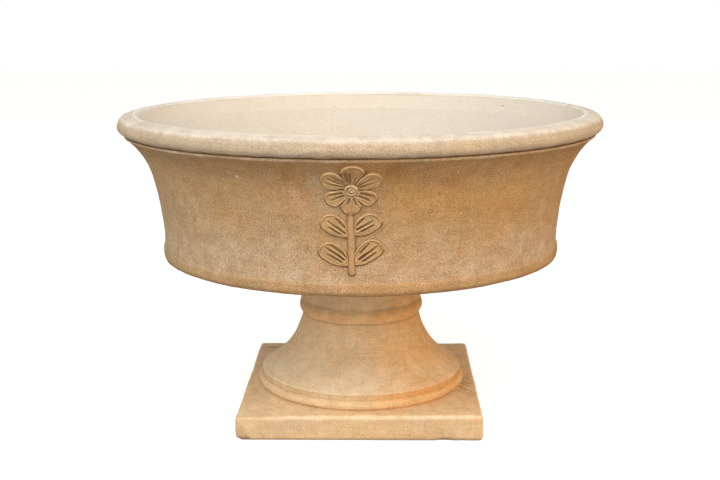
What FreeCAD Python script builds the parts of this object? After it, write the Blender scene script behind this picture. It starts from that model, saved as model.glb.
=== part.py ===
# Urn planter in sand-coloured fired clay: a wide low bowl with a flared wall, a thick rolled rim
# and a flower sprig on its front, standing on a hollow turned foot with a square plinth.
# Lengths are in millimetres and angles in degrees. +Z is up and the origin is the middle of
# the plinth's underside. The flower faces -Y.
import FreeCAD, Part
import math
import os
from FreeCAD import Vector, Rotation, Placement

# Square plinth
plinth_side = 396.0
plinth_height = 42.0
plinth_corner_radius = 7.0
plinth_edge_radius = 4.0
plinth_margin = 20.0
plinth_ledge = 13.0

# Foot: a base moulding, a step, the flare, a groove, a bead and the collar that carries the bowl
foot_moulding_height = 15.0
foot_moulding_bulge = 3.5
foot_step_depth = 7.0
foot_step_height = 9.0
flare_height = 96.0
flare_edge_setback = 6.0
flare_lip_height = 2.5
flare_arc_radius = 132.0
neck_radius = 100.5
neck_groove_depth = 1.5
neck_groove_height = 3.0
bead_height = 22.0
bead_bulge = 4.0
collar_projection = 2.5
collar_height = 32.0
collar_edge_radius = 3.0
foot_wall = 27.0

# Seat between foot and bowl: a soft ring, and a ring spigot in a round socket
seat_ring_thickness = 3.0
seat_ring_setback = 3.0
seat_ring_clearance = 1.0
spigot_wall = 15.0
spigot_length = 14.0
socket_ledge = 5.0
socket_clearance = 1.5
socket_extra_depth = 5.0

# Bowl floor: a dished slab whose edge shows as a low band under the wall
underside_rise = 51.0
underside_arch = 5.0
band_height = 20.0
band_projection = 2.6
band_lower_radius = 5.0
band_upper_bevel = 2.0
floor_thickness = 28.0
floor_pan_radius = 74.0
drain_radius = 16.0
drain_mouth_bevel = 3.0

# Bowl wall: a ring whose faces are two tangent arcs, steep below and flaring above
wall_height = 187.5
wall_thickness = 28.0
lower_flare_angle = 16.7
upper_flare_height = 64.2
upper_flare_radius = 127.0
toe_width = 21.0
toe_height = 26.0
toe_hollow = 6.0
ridge_height = 3.6
ridge_projection = 1.4
crease_height = 2.4
crease_depth = 2.2

# Rolled rim: a thick coil on top of the wall
rim_diameter = 800.0
rim_projection = 12.45
rim_height = 29.5
rim_widest_height = 11.5
rim_shoulder_drop = 3.9
rim_shoulder_setback = 4.3
rim_top_fall = 2.6
rim_shoulder_radius = 6.0
rim_face_bulge = 2.8
rim_top_bulge = 0.8
rim_lip_setback = 35.0
rim_lip_radius = 5.0

# Flower sprig, drawn flat: u across, and v up from the stem's foot. The drawing is fitted to the
# height that the wall's face leaves between the foot's rise and the top margin.
sprig_foot_rise = 11.5
sprig_top_margin = 5.4
sprig_joint_gap = 0.3
sprig_draft_angle = 24.0
sprig_draft_depth = 8.0
sprig_tool_depth = 16.0
sprig_lip_width = 3.0
sprig_hollow_depth = 1.5
sprig_rib_width = 1.9
stem_tail = 15.5
stem_width = 10.5
stem_offset = 1.0
stem_relief = 4.2
leaf_length = 45.0
leaf_width = 28.0
leaf_relief = 3.6
leaf_spacing = 4.8
petal_length = 46.0
petal_width = 30.0
petal_relief = 4.2
button_radius = 8.8
button_dome_radius = 5.6
button_relief = 4.6
button_crown = 6.2

# Each petal: name, angle from the viewer's right, length share and width share. They follow
# each other clockwise from the bottom petal, which the stem meets.
petal_shares = [
    ("petal_bottom", -92.0, 0.81, 0.98),
    ("petal_lower_left", 207.0, 0.86, 0.85),
    ("petal_upper_left", 148.0, 1.00, 1.00),
    ("petal_top", 86.0, 1.02, 1.10),
    ("petal_upper_right", 31.0, 0.99, 0.92),
    ("petal_lower_right", -28.0, 0.82, 0.82),
]
petal_root_share = 0.30
# Each leaf: name, side (-1 left, 1 right), angle above level, length share, and how far its root
# sits up the stem from its tier as a share of its length
lower_leaf_shares = [
    ("leaf_lower_left", -1.0, 29.0, 1.00, 0.0),
    ("leaf_lower_right", 1.0, 37.0, 1.01, 0.02),
]
upper_leaf_shares = [
    ("leaf_upper_left", -1.0, 34.0, 0.95, 0.0),
    ("leaf_upper_right", 1.0, 32.0, 0.90, 0.08),
]
# Half outlines of a leaf from root to tip and back: shares of its length and of its width
leaf_shoulder_share = (0.12, 0.30)
leaf_upper_shares = [((0.36, 0.58), (0.66, 0.68)), ((0.91, 0.54), (1.00, 0.10))]
leaf_lower_shares = [((0.93, -0.17), (0.68, -0.29)), ((0.33, -0.27), (0.0, 0.0))]
leaf_middle_share = (0.5, 0.2)
# Raised ribs in the hollow of a petal or leaf, each with the same shares of its two ends
petal_rib_shares = [((0.24, -0.06), (0.86, -0.18)), ((0.24, 0.06), (0.86, 0.18))]
leaf_rib_shares = [((0.10, 0.08), (0.88, 0.10)), ((0.12, 0.16), (0.78, 0.36))]

# Levels and radii that follow from the sizes above
foot_base_z = plinth_height
moulding_top_z = foot_base_z + foot_moulding_height
step_top_z = moulding_top_z + foot_step_height
neck_z = step_top_z + flare_height
bead_base_z = neck_z + neck_groove_height
bead_top_z = bead_base_z + bead_height
foot_top_z = bead_top_z + collar_height
bowl_seat_z = foot_top_z + seat_ring_thickness
band_base_z = bowl_seat_z + underside_rise
wall_base_z = band_base_z + band_height
wall_top_z = wall_base_z + wall_height
crease_base_z = wall_top_z - crease_height
ridge_base_z = crease_base_z - ridge_height
rim_top_z = wall_top_z + rim_height
foot_moulding_radius = plinth_side / 2 - plinth_margin
foot_hollow_radius = foot_moulding_radius - foot_wall
plinth_opening_radius = foot_hollow_radius - plinth_ledge
neck_hollow_radius = neck_radius - foot_wall
collar_radius = neck_radius + collar_projection
socket_radius = neck_hollow_radius + socket_ledge
spigot_radius = socket_radius - socket_clearance

# The two arcs of the wall's outer face, laid inwards from the rim, and the wall's lean where they
# meet and at the crease
lower_flare = math.radians(lower_flare_angle)
lower_flare_radius = (wall_height - upper_flare_height) / math.sin(lower_flare)
lower_flare_run = lower_flare_radius * lower_flare
flare_radius_step = lower_flare_radius - upper_flare_radius
upper_centre_z = wall_base_z + flare_radius_step * math.sin(lower_flare)
crease_lean = math.asin((crease_base_z - upper_centre_z) / upper_flare_radius)
rim_radius = rim_diameter / 2
rim_foot_radius = rim_radius - rim_projection
upper_centre_r = rim_foot_radius + crease_depth + upper_flare_radius * math.cos(crease_lean)
lower_centre_r = upper_centre_r + flare_radius_step * math.cos(lower_flare)
wall_foot_radius = lower_centre_r - lower_flare_radius
toe_radius = wall_foot_radius - wall_thickness - toe_width

# Full and quarter turns, and the side of a square whose diagonal is one
full_turn = 360.0
quarter_turn = full_turn / 4
diagonal_share = math.sqrt(0.5)
AXIS = Vector(0, 0, 1)


def at(r, z):
    """Point of a turned outline, at radius r and height z."""
    return Vector(r, 0, z)


def bowed(start, end, bow):
    """Arc from start to end as an outline step. A positive bow lies left of its direction."""
    run = (end - start).normalize()
    return (start + end) * 0.5 + Vector(-run.z, 0, run.x) * bow, end


def bow_of(start, end, radius):
    """How far an arc of that radius bows from its chord."""
    return radius - math.sqrt(radius**2 - ((end - start).Length / 2) ** 2)


def outline(start, *steps):
    """Closed wire. Each step is the end of a line, or a point on an arc and the arc's end."""
    edges = []
    here = start
    for step in steps:
        if isinstance(step, tuple):
            edges.append(Part.Arc(here, step[0], step[1]).toShape())
            here = step[1]
        else:
            edges.append(Part.LineSegment(here, step).toShape())
            here = step
    if not here.isEqual(start, Part.Wire(edges).Length * 1e-9):
        edges.append(Part.LineSegment(here, start).toShape())
    return Part.Wire(edges)


def turned(wire, first_angle=0.0, sweep=full_turn):
    """Solid of revolution of an outline about the urn's axis."""
    wire.rotate(Vector(), AXIS, first_angle)
    return Part.Face(wire).revolve(Vector(), AXIS, sweep)


def wall_point(lean, outset):
    """Point of the wall's face where it leans out by that angle, moved outwards by outset."""
    radius = lower_flare_radius
    centre = at(lower_centre_r, wall_base_z)
    if lean > lower_flare:
        radius = upper_flare_radius
        centre = at(upper_centre_r, upper_centre_z)
    return centre + at(-math.cos(lean), math.sin(lean)) * (radius - outset)


def wall_lean(z, outset):
    """Lean of the moved face at height z, above the place where its two arcs meet."""
    return math.asin((z - upper_centre_z) / (upper_flare_radius - outset))


def wall_steps(first_lean, last_lean, outset):
    """The two arcs of the moved face as outline steps, upwards or downwards."""
    leans = [first_lean, lower_flare, last_lean]
    return [(wall_point((a + b) / 2, outset), wall_point(b, outset)) for a, b in zip(leans, leans[1:])]


# Inner radius of the flat joint between wall and rim
wall_mouth_radius = wall_point(wall_lean(wall_top_z, -wall_thickness), -wall_thickness).x


def make_plinth():
    """Square slab with a round opening under the hollow foot."""
    corner = Vector(-plinth_side / 2, -plinth_side / 2, 0)
    slab = Part.makeBox(plinth_side, plinth_side, plinth_height, corner)
    uprights = [e for e in slab.Edges if e.BoundBox.ZLength > plinth_height / 2]
    slab = slab.makeFillet(plinth_corner_radius, uprights)
    top_edges = [e for e in slab.Edges if e.BoundBox.ZMin > plinth_height / 2]
    slab = slab.makeFillet(plinth_edge_radius, top_edges)
    return slab.cut(Part.makeCylinder(plinth_opening_radius, plinth_height))


def make_foot():
    """Hollow turned foot, whose round socket takes the bowl's spigot."""
    moulding_face_r = foot_moulding_radius - foot_moulding_bulge
    moulding_base = at(moulding_face_r, foot_base_z)
    moulding_top = at(moulding_face_r, moulding_top_z)
    step_radius = foot_moulding_radius - foot_step_depth
    flare_edge_radius = foot_moulding_radius - flare_edge_setback
    socket_floor_z = bowl_seat_z - spigot_length - socket_extra_depth
    flare_start = at(flare_edge_radius, step_top_z + flare_lip_height)
    flare_end = at(neck_radius, neck_z)
    hollow_start = at(neck_hollow_radius, neck_z)
    hollow_end = at(foot_hollow_radius, step_top_z)
    hollow_bow = bow_of(hollow_start, hollow_end, flare_arc_radius + foot_wall)
    collar_round = collar_edge_radius * (1 - diagonal_share)
    return turned(
        outline(
            at(foot_hollow_radius, foot_base_z),
            moulding_base,
            bowed(moulding_base, moulding_top, -foot_moulding_bulge),
            at(step_radius, moulding_top_z),
            at(step_radius, step_top_z),
            at(flare_edge_radius, step_top_z),
            flare_start,
            bowed(flare_start, flare_end, bow_of(flare_start, flare_end, flare_arc_radius)),
            at(neck_radius - neck_groove_depth, (neck_z + bead_base_z) / 2),
            at(neck_radius, bead_base_z),
            (
                at(collar_radius + bead_bulge, (bead_base_z + bead_top_z) / 2),
                at(collar_radius, bead_top_z),
            ),
            at(collar_radius, foot_top_z - collar_edge_radius),
            (
                at(collar_radius - collar_round, foot_top_z - collar_round),
                at(collar_radius - collar_edge_radius, foot_top_z),
            ),
            at(socket_radius, foot_top_z),
            at(socket_radius, socket_floor_z),
            at(neck_hollow_radius, socket_floor_z),
            hollow_start,
            bowed(hollow_start, hollow_end, -hollow_bow),
        )
    )


def make_seat_ring():
    """Flat soft ring that beds the bowl on the foot."""
    outer = collar_radius - collar_edge_radius - seat_ring_setback
    inner = socket_radius + seat_ring_clearance
    return turned(
        outline(
            at(inner, foot_top_z),
            at(outer, foot_top_z),
            at(outer, bowl_seat_z),
            at(inner, bowl_seat_z),
        )
    )


def make_bowl_floor():
    """Dished floor slab with the drain hole, the ring spigot and the band at its edge."""
    band_radius = wall_foot_radius + band_projection
    spigot_bore = spigot_radius - spigot_wall
    spigot_end_z = bowl_seat_z - spigot_length
    pan_z = bowl_seat_z + floor_thickness
    boss_edge = at(collar_radius, bowl_seat_z)
    band_foot = at(band_radius - band_lower_radius, band_base_z)
    band_round = band_lower_radius * (1 - diagonal_share)
    return turned(
        outline(
            at(drain_radius, bowl_seat_z),
            at(spigot_bore, bowl_seat_z),
            at(spigot_bore, spigot_end_z),
            at(spigot_radius, spigot_end_z),
            at(spigot_radius, bowl_seat_z),
            boss_edge,
            bowed(boss_edge, band_foot, underside_arch),
            (
                at(band_radius - band_round, band_base_z + band_round),
                at(band_radius, band_base_z + band_lower_radius),
            ),
            at(band_radius, wall_base_z - band_upper_bevel),
            at(wall_foot_radius, wall_base_z),
            at(toe_radius, wall_base_z),
            at(floor_pan_radius, pan_z),
            at(drain_radius + drain_mouth_bevel, pan_z),
            at(drain_radius, pan_z - drain_mouth_bevel),
        )
    )


def make_bowl_wall():
    """Flared wall ring, with a thin ridge and a crease under the rim."""
    ridge_base = wall_point(ridge_lean, 0)
    ridge_top = wall_point(crease_lean, 0)
    toe_lean = math.asin(toe_height / (lower_flare_radius + wall_thickness))
    toe_top = wall_point(toe_lean, -wall_thickness)
    toe_foot = at(toe_radius, wall_base_z)
    return turned(
        outline(
            toe_foot,
            at(wall_foot_radius, wall_base_z),
            *wall_steps(0, ridge_lean, 0),
            bowed(ridge_base, ridge_top, -ridge_projection),
            at(rim_foot_radius, wall_top_z),
            at(wall_mouth_radius, wall_top_z),
            *wall_steps(wall_lean(wall_top_z, -wall_thickness), toe_lean, -wall_thickness),
            bowed(toe_top, toe_foot, toe_hollow),
        )
    )


def make_rim():
    """Thick rolled rim. Its widest line is low, and its top falls gently outwards."""
    foot = at(rim_foot_radius, wall_top_z)
    widest = at(rim_radius, wall_top_z + rim_widest_height)
    shoulder_top_z = rim_top_z - rim_top_fall
    shoulder = at(rim_radius - rim_shoulder_setback, shoulder_top_z - rim_shoulder_drop)
    shoulder_top = at(shoulder.x - rim_shoulder_radius, shoulder_top_z)
    lip_outer = at(rim_radius - rim_lip_setback + rim_lip_radius, rim_top_z)
    lip_inner = at(rim_radius - rim_lip_setback, rim_top_z - rim_lip_radius)
    lip_round = rim_lip_radius * (1 - diagonal_share)
    return turned(
        outline(
            at(wall_mouth_radius, wall_top_z),
            foot,
            bowed(foot, widest, -rim_face_bulge),
            bowed(widest, shoulder, -rim_top_bulge),
            bowed(shoulder, shoulder_top, -rim_top_bulge),
            bowed(shoulder_top, lip_outer, -rim_top_bulge),
            (at(lip_inner.x + lip_round, rim_top_z - lip_round), lip_inner),
        )
    )


def leaf_reach(leaf):
    """How far a leaf's highest outline point stands above its tier on the stem."""
    name, side, angle, length_share, raise_share = leaf
    length = leaf_length * length_share
    heading = math.radians(angle)
    points = [point for step in leaf_upper_shares for point in step]
    heights = [length * x * math.sin(heading) + leaf_width * y * math.cos(heading) for x, y in points]
    return length * raise_share + max(heights)


# Heights in the sprig's drawing, and the ratio at which it is laid on the wall's face
upper_tier_v = stem_tail + max(map(leaf_reach, lower_leaf_shares)) + leaf_spacing
stem_top_v = upper_tier_v + max(map(leaf_reach, upper_leaf_shares))
flower_v = stem_top_v + petal_length * petal_shares[0][2]
sprig_height = flower_v + petal_length * max(shares[2] for shares in petal_shares)
ridge_lean = wall_lean(ridge_base_z, 0)
face_run = lower_flare_run + (ridge_lean - lower_flare) * upper_flare_radius
sprig_fit = (face_run - sprig_foot_rise - sprig_top_margin) / sprig_height
draft_slope = math.tan(math.radians(sprig_draft_angle))


def wall_frame(u, v):
    """Placement of a point of the drawing on the wall: x across, y up the wall and z out of it."""
    run = sprig_foot_rise + v * sprig_fit
    lean = run / lower_flare_radius
    if run > lower_flare_run:
        lean = lower_flare + (run - lower_flare_run) / upper_flare_radius
    seat = wall_point(lean, 0)
    upright = Rotation(Vector(1, 0, 0), quarter_turn + math.degrees(lean))
    around = Rotation(AXIS, math.degrees(u * sprig_fit / seat.x))
    return Placement(Vector(), around) * Placement(Vector(0, -seat.x, seat.z), upright)


def sprig_layer(near, far):
    """Layer in front of the wall's face, from near to far off it, wider than the sprig."""
    top_lean = ridge_lean - sprig_joint_gap / upper_flare_radius
    half_width = math.degrees((petal_length + leaf_length) * sprig_fit / wall_foot_radius)
    wire = outline(
        wall_point(0, near),
        *wall_steps(0, top_lean, near),
        wall_point(top_lean, far),
        *wall_steps(top_lean, 0, far),
    )
    return turned(wire, -quarter_turn - half_width, 2 * half_width)


def drafted(make_wire, frame, relief):
    """Tool through the wall's face whose outline, true at half the relief, narrows outwards."""
    wires = []
    for depth in (-sprig_draft_depth, sprig_draft_depth):
        wire = make_wire(-depth * draft_slope / sprig_fit)
        wire.scale(sprig_fit)
        wire.translate(Vector(0, 0, relief / 2 + depth))
        wires.append(wire)
    body = Part.makeLoft(wires, True, True)
    body.Placement = frame
    return body


def straight(wire, frame):
    """Straight-sided tool through the wall's face."""
    wire.scale(sprig_fit)
    wire.translate(Vector(0, 0, -sprig_tool_depth))
    tool = Part.Face(wire).extrude(Vector(0, 0, 2 * sprig_tool_depth))
    tool.Placement = frame
    return tool


def hollow_tool(make_wire, rib_wires, frame, relief):
    """Shallow hollow inside a lip, with the ribs left standing in it."""
    field = straight(make_wire(-sprig_lip_width), frame)
    ribs = [straight(wire, frame) for wire in rib_wires]
    floor = sprig_joint_gap + relief - sprig_hollow_depth
    return field.cut(ribs).common(sprig_layer(floor, sprig_joint_gap + sprig_tool_depth))


def rib_wire(start, end):
    """Thin round-ended outline between two points."""
    run = (end - start).normalize() * (sprig_rib_width / 2)
    side = Vector(-run.y, run.x, 0)
    return outline(
        start - side,
        end - side,
        (end + run, end + side),
        start + side,
        (start - run, start - side),
    )


def petal_wire(length, width, spread):
    """Teardrop petal that leaves the flower's middle along +X. spread grows it on all sides."""
    reach = width / 2 + spread
    tip_centre = Vector(length - width / 2, 0, 0)
    diagonal = reach * diagonal_share
    root = Vector(0, reach * petal_root_share, 0)
    return outline(
        root * -1,
        tip_centre + Vector(0, -reach, 0),
        (tip_centre + Vector(diagonal, -diagonal, 0), tip_centre + Vector(reach, 0, 0)),
        (tip_centre + Vector(diagonal, diagonal, 0), tip_centre + Vector(0, reach, 0)),
        root,
    )


def leaf_wire(length, width, spread):
    """Leaf that grows from its root along +X, fuller on +Y. spread grows it on all sides."""

    def place(share):
        along = length * share[0] + 2 * spread * (share[0] - leaf_middle_share[0])
        across = width * share[1] + 2 * spread * (share[1] - leaf_middle_share[1])
        return Vector(along, across, 0)

    steps = [(place(via), place(end)) for via, end in leaf_upper_shares + leaf_lower_shares]
    return outline(steps[-1][1], place(leaf_shoulder_share), *steps)


def laid(wire, angle, shift, side=1.0):
    """A flat drawing turned in its plane, mirrored if side is -1, then shifted."""
    if side < 0:
        wire = wire.mirror(Vector(), Vector(1, 0, 0))
    wire.rotate(Vector(), AXIS, side * angle)
    wire.translate(shift)
    return wire


def laid_ribs(rib_shares, length, width, angle, shift, side=1.0):
    """Outlines of a petal's or leaf's ribs, laid like the piece itself."""
    wires = []
    for ends in rib_shares:
        start, end = [Vector(length * along, width * across, 0) for along, across in ends]
        wires.append(laid(rib_wire(start, end), angle, shift, side))
    return wires


def make_petal(index, petal_layer):
    """One petal, inside its own sector of the flower and clear of the button."""
    name, angle, length_share, width_share = petal_shares[index]
    length = petal_length * length_share
    width = petal_width * width_share
    heading = math.radians(angle)
    middle = Vector(length / 2 * math.cos(heading), length / 2 * math.sin(heading), 0)
    frame = wall_frame(middle.x, flower_v + middle.y)
    ribs = laid_ribs(petal_rib_shares, length, width, angle, middle * -1)

    def wire(spread):
        return laid(petal_wire(length, width, spread), angle, middle * -1)

    button_room = Part.makeCylinder(
        button_radius * sprig_fit + sprig_joint_gap,
        2 * sprig_tool_depth,
        Vector(0, 0, -sprig_tool_depth),
    )
    button_room.Placement = wall_frame(0, flower_v)
    petal = drafted(wire, frame, petal_relief).common(petal_layer).common(petal_sector(index))
    return petal.cut([button_room, hollow_tool(wire, ribs, frame, petal_relief)])


def petal_sector(index):
    """Wedge of the flower that belongs to one petal, half a joint gap inside its share."""
    angle = petal_shares[index][1]
    clockwise = petal_shares[(index + 1) % len(petal_shares)][1]
    anticlockwise = petal_shares[index - 1][1]
    right_half = math.radians(((angle - clockwise) % full_turn) / 2)
    left_half = math.radians(((anticlockwise - angle) % full_turn) / 2)
    half_gap = sprig_joint_gap / 2 / sprig_fit
    corner = Vector(half_gap / math.sin(min(right_half, left_half)), 0, 0)
    reach = 2 * petal_length
    wire = outline(
        corner,
        corner + Vector(math.cos(right_half), -math.sin(right_half), 0) * reach,
        corner + Vector(reach, 0, 0),
        corner + Vector(math.cos(left_half), math.sin(left_half), 0) * reach,
    )
    return straight(laid(wire, angle, Vector()), wall_frame(0, flower_v))


def make_button():
    """Round middle of the flower: a low disc with a rounded rim and a spherical dome on it."""
    disc_z = sprig_joint_gap + button_relief
    crown_z = sprig_joint_gap + button_crown
    edge_z = disc_z - sprig_hollow_depth
    edge_r = button_radius * sprig_fit
    dome_r = button_dome_radius * sprig_fit
    dome_height = crown_z - edge_z
    dome_sphere = (dome_r**2 + dome_height**2) / (2 * dome_height)
    half_cap = math.asin(dome_r / dome_sphere) / 2
    dome_side = at(0, crown_z - dome_sphere) + at(math.sin(half_cap), math.cos(half_cap)) * dome_sphere
    wire = outline(
        at(0, -sprig_tool_depth),
        at(edge_r, -sprig_tool_depth),
        at(edge_r, edge_z),
        (at((edge_r + dome_r) / 2, disc_z), at(dome_r, edge_z)),
        (dome_side, at(0, crown_z)),
    )
    button = turned(wire)
    button.Placement = wall_frame(0, flower_v)
    return button.common(sprig_layer(sprig_joint_gap, sprig_tool_depth))


def make_stem():
    """Upright stem, from its rounded foot up to the bottom petal."""
    middle_v = stem_top_v / 2
    foot_y = stem_width / 2 - middle_v
    top_y = stem_top_v + button_radius - middle_v

    def wire(spread):
        half = stem_width / 2 + spread
        return outline(
            Vector(half, foot_y, 0),
            Vector(half, top_y, 0),
            Vector(-half, top_y, 0),
            Vector(-half, foot_y, 0),
            (Vector(0, foot_y - half, 0), Vector(half, foot_y, 0)),
        )

    name, angle, length_share, width_share = petal_shares[0]
    spread = (petal_relief / 2 * draft_slope + sprig_joint_gap) / sprig_fit
    petal_room = petal_wire(petal_length * length_share, petal_width * width_share, spread)
    stem = drafted(wire, wall_frame(-stem_offset, middle_v), stem_relief)
    stem = stem.common(sprig_layer(sprig_joint_gap, sprig_joint_gap + stem_relief))
    return stem.cut(straight(laid(petal_room, angle, Vector()), wall_frame(0, flower_v)))


def make_leaf(leaf, tier_v, leaf_layer):
    """One leaf, whose root meets the side of the stem."""
    name, side, angle, length_share, raise_share = leaf
    length = leaf_length * length_share
    heading = math.radians(angle)
    root = Vector(-stem_offset + side * stem_width / 2, tier_v + length * raise_share, 0)
    run = Vector(side * length / 2 * math.cos(heading), length / 2 * math.sin(heading), 0)
    frame = wall_frame(root.x + run.x, root.y + run.y)
    ribs = laid_ribs(leaf_rib_shares, length, leaf_width, angle, run * -1, side)

    def wire(spread):
        return laid(leaf_wire(length, leaf_width, spread), angle, run * -1, side)

    stem_half = stem_width / 2 * sprig_fit + stem_relief / 2 * draft_slope + sprig_joint_gap
    stem_corner = Vector(-stem_offset * sprig_fit - stem_half, -rim_radius, wall_base_z)
    stem_room = Part.makeBox(2 * stem_half, rim_radius, wall_height, stem_corner)
    body = drafted(wire, frame, leaf_relief).common(leaf_layer)
    return body.cut([stem_room, hollow_tool(wire, ribs, frame, leaf_relief)])


def save(name, shape):
    """Writes one named piece, after a check that it is one sound solid."""
    if not shape.isValid() or len(shape.Solids) != 1:
        raise ValueError(f"{name} is not one sound solid but has {len(shape.Solids)}")
    shape.Solids[0].exportStep(f"parts/{name}.step")
    print(f"{name}: {shape.Volume / 1e6:.4f} litres")


def main():
    os.makedirs("parts", exist_ok=True)
    save("plinth", make_plinth())
    save("foot", make_foot())
    save("seat_ring", make_seat_ring())
    save("bowl_floor", make_bowl_floor())
    save("bowl_wall", make_bowl_wall())
    save("rim", make_rim())
    save("flower_button", make_button())
    save("stem", make_stem())
    petal_layer = sprig_layer(sprig_joint_gap, sprig_joint_gap + petal_relief)
    for index, shares in enumerate(petal_shares):
        save(shares[0], make_petal(index, petal_layer))
    leaf_layer = sprig_layer(sprig_joint_gap, sprig_joint_gap + leaf_relief)
    for leaf in lower_leaf_shares:
        save(leaf[0], make_leaf(leaf, stem_tail, leaf_layer))
    for leaf in upper_leaf_shares:
        save(leaf[0], make_leaf(leaf, upper_tier_v, leaf_layer))


main()
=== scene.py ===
# %% [markdown]
# # A clay urn planter
# The real pot is a wide, low bowl of sandy fired clay on a waisted foot with a square plinth. Its
# sizes are already settled in a measured model. This lesson gives that model the skin of the real
# thing: the slow waves of hand-turned clay, soft worn edges, a pressed flower sprig, chipped
# corners and a dry, grainy finish. Each clay piece is made again at its measured place, because a
# measured surface is perfectly smooth and the fired one never is.

# %% Open the measured model
import math
import random
from types import SimpleNamespace
import bpy
from mathutils import Matrix, Vector, kdtree, noise


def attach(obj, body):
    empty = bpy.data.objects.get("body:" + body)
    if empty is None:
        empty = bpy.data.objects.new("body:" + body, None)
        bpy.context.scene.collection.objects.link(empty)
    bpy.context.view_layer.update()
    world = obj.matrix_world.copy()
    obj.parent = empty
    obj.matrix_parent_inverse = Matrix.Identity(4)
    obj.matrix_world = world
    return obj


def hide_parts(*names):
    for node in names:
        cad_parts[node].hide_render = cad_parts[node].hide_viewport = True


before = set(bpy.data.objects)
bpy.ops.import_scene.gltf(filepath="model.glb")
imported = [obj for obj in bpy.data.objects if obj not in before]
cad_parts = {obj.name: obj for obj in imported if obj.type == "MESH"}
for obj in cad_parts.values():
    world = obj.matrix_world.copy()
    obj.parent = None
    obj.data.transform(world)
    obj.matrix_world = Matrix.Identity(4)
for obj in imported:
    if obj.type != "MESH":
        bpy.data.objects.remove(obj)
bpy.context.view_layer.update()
mm = 0.001
print("measured pieces:", len(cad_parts))

# %% [markdown]
# ## Small helpers for working by hand
# Every operator acts on what is selected. So each step first clears the selection, then picks the
# piece or the vertices that it needs. Picking by place is done in code, because a vertex is a
# record with a place in it, and its select flag can be set like a tick on a list.

# %% Select a piece, or some of its vertices
def only(piece=None):
    """Object mode, with nothing selected but the piece."""
    if bpy.context.object and bpy.context.object.mode != "OBJECT":
        bpy.ops.object.mode_set(mode="OBJECT")
    bpy.ops.object.select_all(action="DESELECT")
    if piece:
        piece.select_set(True)
        bpy.context.view_layer.objects.active = piece


def everywhere(place):
    """A test that every vertex passes."""
    return True


def pick(piece, test=everywhere):
    """Edit mode, with the vertices selected whose place passes the test."""
    only(piece)
    bpy.ops.object.mode_set(mode="EDIT")
    bpy.ops.mesh.select_mode(type="VERT")
    bpy.ops.mesh.select_all(action="DESELECT")
    bpy.ops.object.mode_set(mode="OBJECT")
    for vertex in piece.data.vertices:
        vertex.select = bool(test(vertex.co))
    bpy.ops.object.mode_set(mode="EDIT")


# %% Move, stretch and close what is picked
def shift(piece, by, test=everywhere):
    """Moves the vertices that pass the test, by metres along x, y and z."""
    pick(piece, test)
    bpy.ops.transform.translate(value=by)
    bpy.ops.object.mode_set(mode="OBJECT")


def stretch(piece, factors, middle):
    """Scales a piece along x, y and z about a middle in metres."""
    pick(piece)
    bpy.ops.transform.resize(value=factors, center_override=middle)
    bpy.ops.object.mode_set(mode="OBJECT")


def tidy_shell(piece):
    """Closes seams and turns all faces outwards."""
    pick(piece)
    bpy.ops.mesh.remove_doubles(threshold=0.01 * mm)
    bpy.ops.mesh.normals_make_consistent(inside=False)
    bpy.ops.object.mode_set(mode="OBJECT")


# %% [markdown]
# ## Drawing an outline
# Turned clay is a cross-section spun about an axis. The outline is drawn as lines and arcs, with a
# place every few millimetres, so that the spun surface has enough faces to carry waves and dents.
# An arc is given by how far it bows to the left of its chord, which is easy to judge.

# %% Places along lines and arcs
def stroke(start, end, bow=0.0, spacing=3.0):
    """Places from start, left out, to end, in millimetres."""
    start, end = Vector(start), Vector(end)
    chord = end - start
    left = Vector((-chord.y, chord.x)) / 2
    half = 2 * math.atan2(2 * bow, chord.length)
    steps = max(1, round(chord.length / spacing))
    places = []
    for step in range(1, steps + 1):
        along, across = 2 * step / steps - 1, 0.0
        if bow:
            across = (math.cos(half * along) - math.cos(half)) / math.sin(half)
            along = math.sin(half * along) / math.sin(half)
        places.append((start + end) / 2 + chord / 2 * along + left * across)
    return places


def outline(start, *steps, spacing=3.0):
    """Closed outline. Each step is a radius, a height and, for an arc, its bow."""
    places, here = [Vector(start)], start
    for step in steps:
        places += stroke(here, step[:2], *step[2:], spacing=spacing)
        here = step[:2]
    return places + stroke(here, start, spacing=spacing)


# %% Spin an outline into a ring of clay
def throw(name, places, columns):
    """A closed turned piece from an outline of radii and heights."""
    only()
    bpy.ops.mesh.primitive_plane_add(size=mm)
    piece = bpy.context.object
    piece.name = piece.data.name = name
    bpy.ops.object.mode_set(mode="EDIT")
    bpy.ops.mesh.merge(type="CENTER")
    here = Vector((0, 0, 0))
    for number, place in enumerate(places):
        there = Vector((place[0], 0, place[1])) * mm
        if number:
            bpy.ops.mesh.extrude_vertices_move(TRANSFORM_OT_translate={"value": there - here})
        else:
            bpy.ops.transform.translate(value=there)
        here = there
    bpy.ops.mesh.select_all(action="SELECT")
    doublings = 4
    part = 2 * math.pi / 2**doublings
    bpy.ops.mesh.spin(steps=columns // 2**doublings, angle=part, center=(0, 0, 0), axis=(0, 0, 1))
    for doubling in range(doublings):
        bpy.ops.mesh.select_all(action="SELECT")
        bpy.ops.mesh.duplicate()
        bpy.ops.transform.rotate(value=part * 2**doubling, orient_axis="Z", center_override=(0, 0, 0))
    tidy_shell(piece)
    print(name, "has", len(piece.data.polygons), "faces")
    return piece


# %% [markdown]
# ## Loosening a perfect surface
# A weight group says how free each vertex is: one on the open skin, and nothing near a joint, so
# that the pieces still meet. A Displace modifier then pushes the free skin in and out by a
# cloud texture. Small dents are painted as weights too, round random places on the skin.

# %% Paint weights and push the skin
def ease(low, high, value):
    """Eases from 0 at low to 1 at high, and high may be the lesser."""
    share = min(1.0, max(0.0, (value - low) / (high - low)))
    return share * share * (3 - 2 * share)


def hump(start, full, fading, end, value):
    """1 between full and fading, and 0 before start and after end."""
    return ease(start, full, value) * ease(end, fading, value)


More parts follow.
